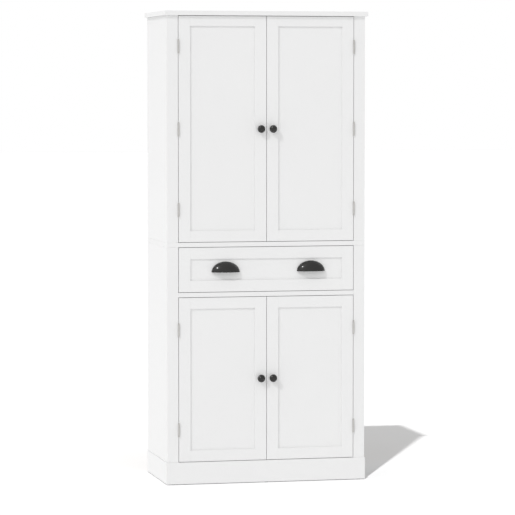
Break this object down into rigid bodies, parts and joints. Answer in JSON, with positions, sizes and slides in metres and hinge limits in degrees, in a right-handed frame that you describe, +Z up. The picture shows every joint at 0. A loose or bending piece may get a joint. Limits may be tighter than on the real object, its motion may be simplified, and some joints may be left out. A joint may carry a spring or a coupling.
{
  "type": "pantry cabinet",
  "caption": "Tall free-standing pantry cabinet with framed doors above and below a drawer with cup pulls, round knobs, inside shelves and a plain plinth.",
  "frame": {"origin": "on the floor, under the middle of the cabinet's overall box", "axes": "+Z up, the doors face -Y, +X to the right as seen from the front"},
  "size_m": [0.81, 0.431, 1.834],
  "materials": {
    "white_paint": "satin white paint on board",
    "backing_board": "thin white-faced hardboard",
    "drawer_board": "clear-coated birch",
    "bare_wood": "bare softwood and beech",
    "black_metal": "satin black coating on cast zinc",
    "hinge_nickel": "satin nickel plate",
    "zinc_steel": "bright zinc plate",
    "glide_plastic": "dark moulded plastic",
    "catch_plastic": "white moulded plastic"
  },
  "bodies": {
    "case": {"top_board": "white_paint", "upper_left_side": "white_paint", "upper_right_side": "white_paint", "lower_left_side": "white_paint", "lower_right_side": "white_paint", "mid_board": "white_paint", "drawer_deck": "white_paint", "floor_board": "white_paint", "upper_back_panel": "backing_board", "lower_back_panel": "backing_board", "upper_left_stile": "white_paint", "upper_right_stile": "white_paint", "lower_left_stile": "white_paint", "lower_right_stile": "white_paint", "wall_rail": "white_paint", "plinth_front": "white_paint", "plinth_sides": "white_paint", "plinth_back": "bare_wood", "foot_glides": "glide_plastic", "upper_shelves": "white_paint", "lower_shelf": "white_paint", "shelf_pins": "hinge_nickel", "hinge_frame_leaves": "hinge_nickel", "hinge_pins": "hinge_nickel", "door_catches": "catch_plastic", "cabinet_runners": "zinc_steel", "runner_packers": "bare_wood", "case_screws": "zinc_steel", "dowels": "bare_wood"},
    "drawer": {"drawer_front_frame": "white_paint", "drawer_front_panel": "white_paint", "drawer_box_front": "drawer_board", "drawer_box_sides": "drawer_board", "drawer_box_back": "drawer_board", "drawer_bottom": "backing_board", "left_cup_pull": "black_metal", "right_cup_pull": "black_metal", "drawer_screws": "zinc_steel", "drawer_runners": "zinc_steel"},
    "ball_cages": {"ball_cages": "zinc_steel"},
    "upper_left_door": {"upper_left_door_frame": "white_paint", "upper_left_door_panel": "white_paint", "upper_left_door_knob": "black_metal", "upper_left_door_hinge_leaves": "hinge_nickel", "upper_left_door_fixings": "zinc_steel"},
    "upper_right_door": {"upper_right_door_frame": "white_paint", "upper_right_door_panel": "white_paint", "upper_right_door_knob": "black_metal", "upper_right_door_hinge_leaves": "hinge_nickel", "upper_right_door_fixings": "zinc_steel"},
    "lower_left_door": {"lower_left_door_frame": "white_paint", "lower_left_door_panel": "white_paint", "lower_left_door_knob": "black_metal", "lower_left_door_hinge_leaves": "hinge_nickel", "lower_left_door_fixings": "zinc_steel"},
    "lower_right_door": {"lower_right_door_frame": "white_paint", "lower_right_door_panel": "white_paint", "lower_right_door_knob": "black_metal", "lower_right_door_hinge_leaves": "hinge_nickel", "lower_right_door_fixings": "zinc_steel"}
  },
  "joints": [
    {"name": "upper_left_door_hinge", "type": "hinge", "parent": "case", "child": "upper_left_door", "pos_m": [-0.3491, -0.1927, 1.3782], "axis": [0, 0, -1], "range_deg": [0, 175]},
    {"name": "upper_right_door_hinge", "type": "hinge", "parent": "case", "child": "upper_right_door", "pos_m": [0.3491, -0.1927, 1.3782], "axis": [0, 0, 1], "range_deg": [0, 175]},
    {"name": "lower_left_door_hinge", "type": "hinge", "parent": "case", "child": "lower_left_door", "pos_m": [-0.3491, -0.1927, 0.40765], "axis": [0, 0, -1], "range_deg": [0, 175]},
    {"name": "lower_right_door_hinge", "type": "hinge", "parent": "case", "child": "lower_right_door", "pos_m": [0.3491, -0.1927, 0.40765], "axis": [0, 0, 1], "range_deg": [0, 175]},
    {"name": "drawer_slide", "type": "slide", "parent": "case", "child": "drawer", "axis": [0, -1, 0], "range_m": [0, 0.25]},
    {"name": "ball_cage_slide", "type": "slide", "parent": "case", "child": "ball_cages", "axis": [0, -1, 0], "range_m": [0, 0.125]}
  ],
  "couplings": [
    {"joint": "ball_cage_slide", "follows": "drawer_slide", "ratio": 0.5}
  ]
}
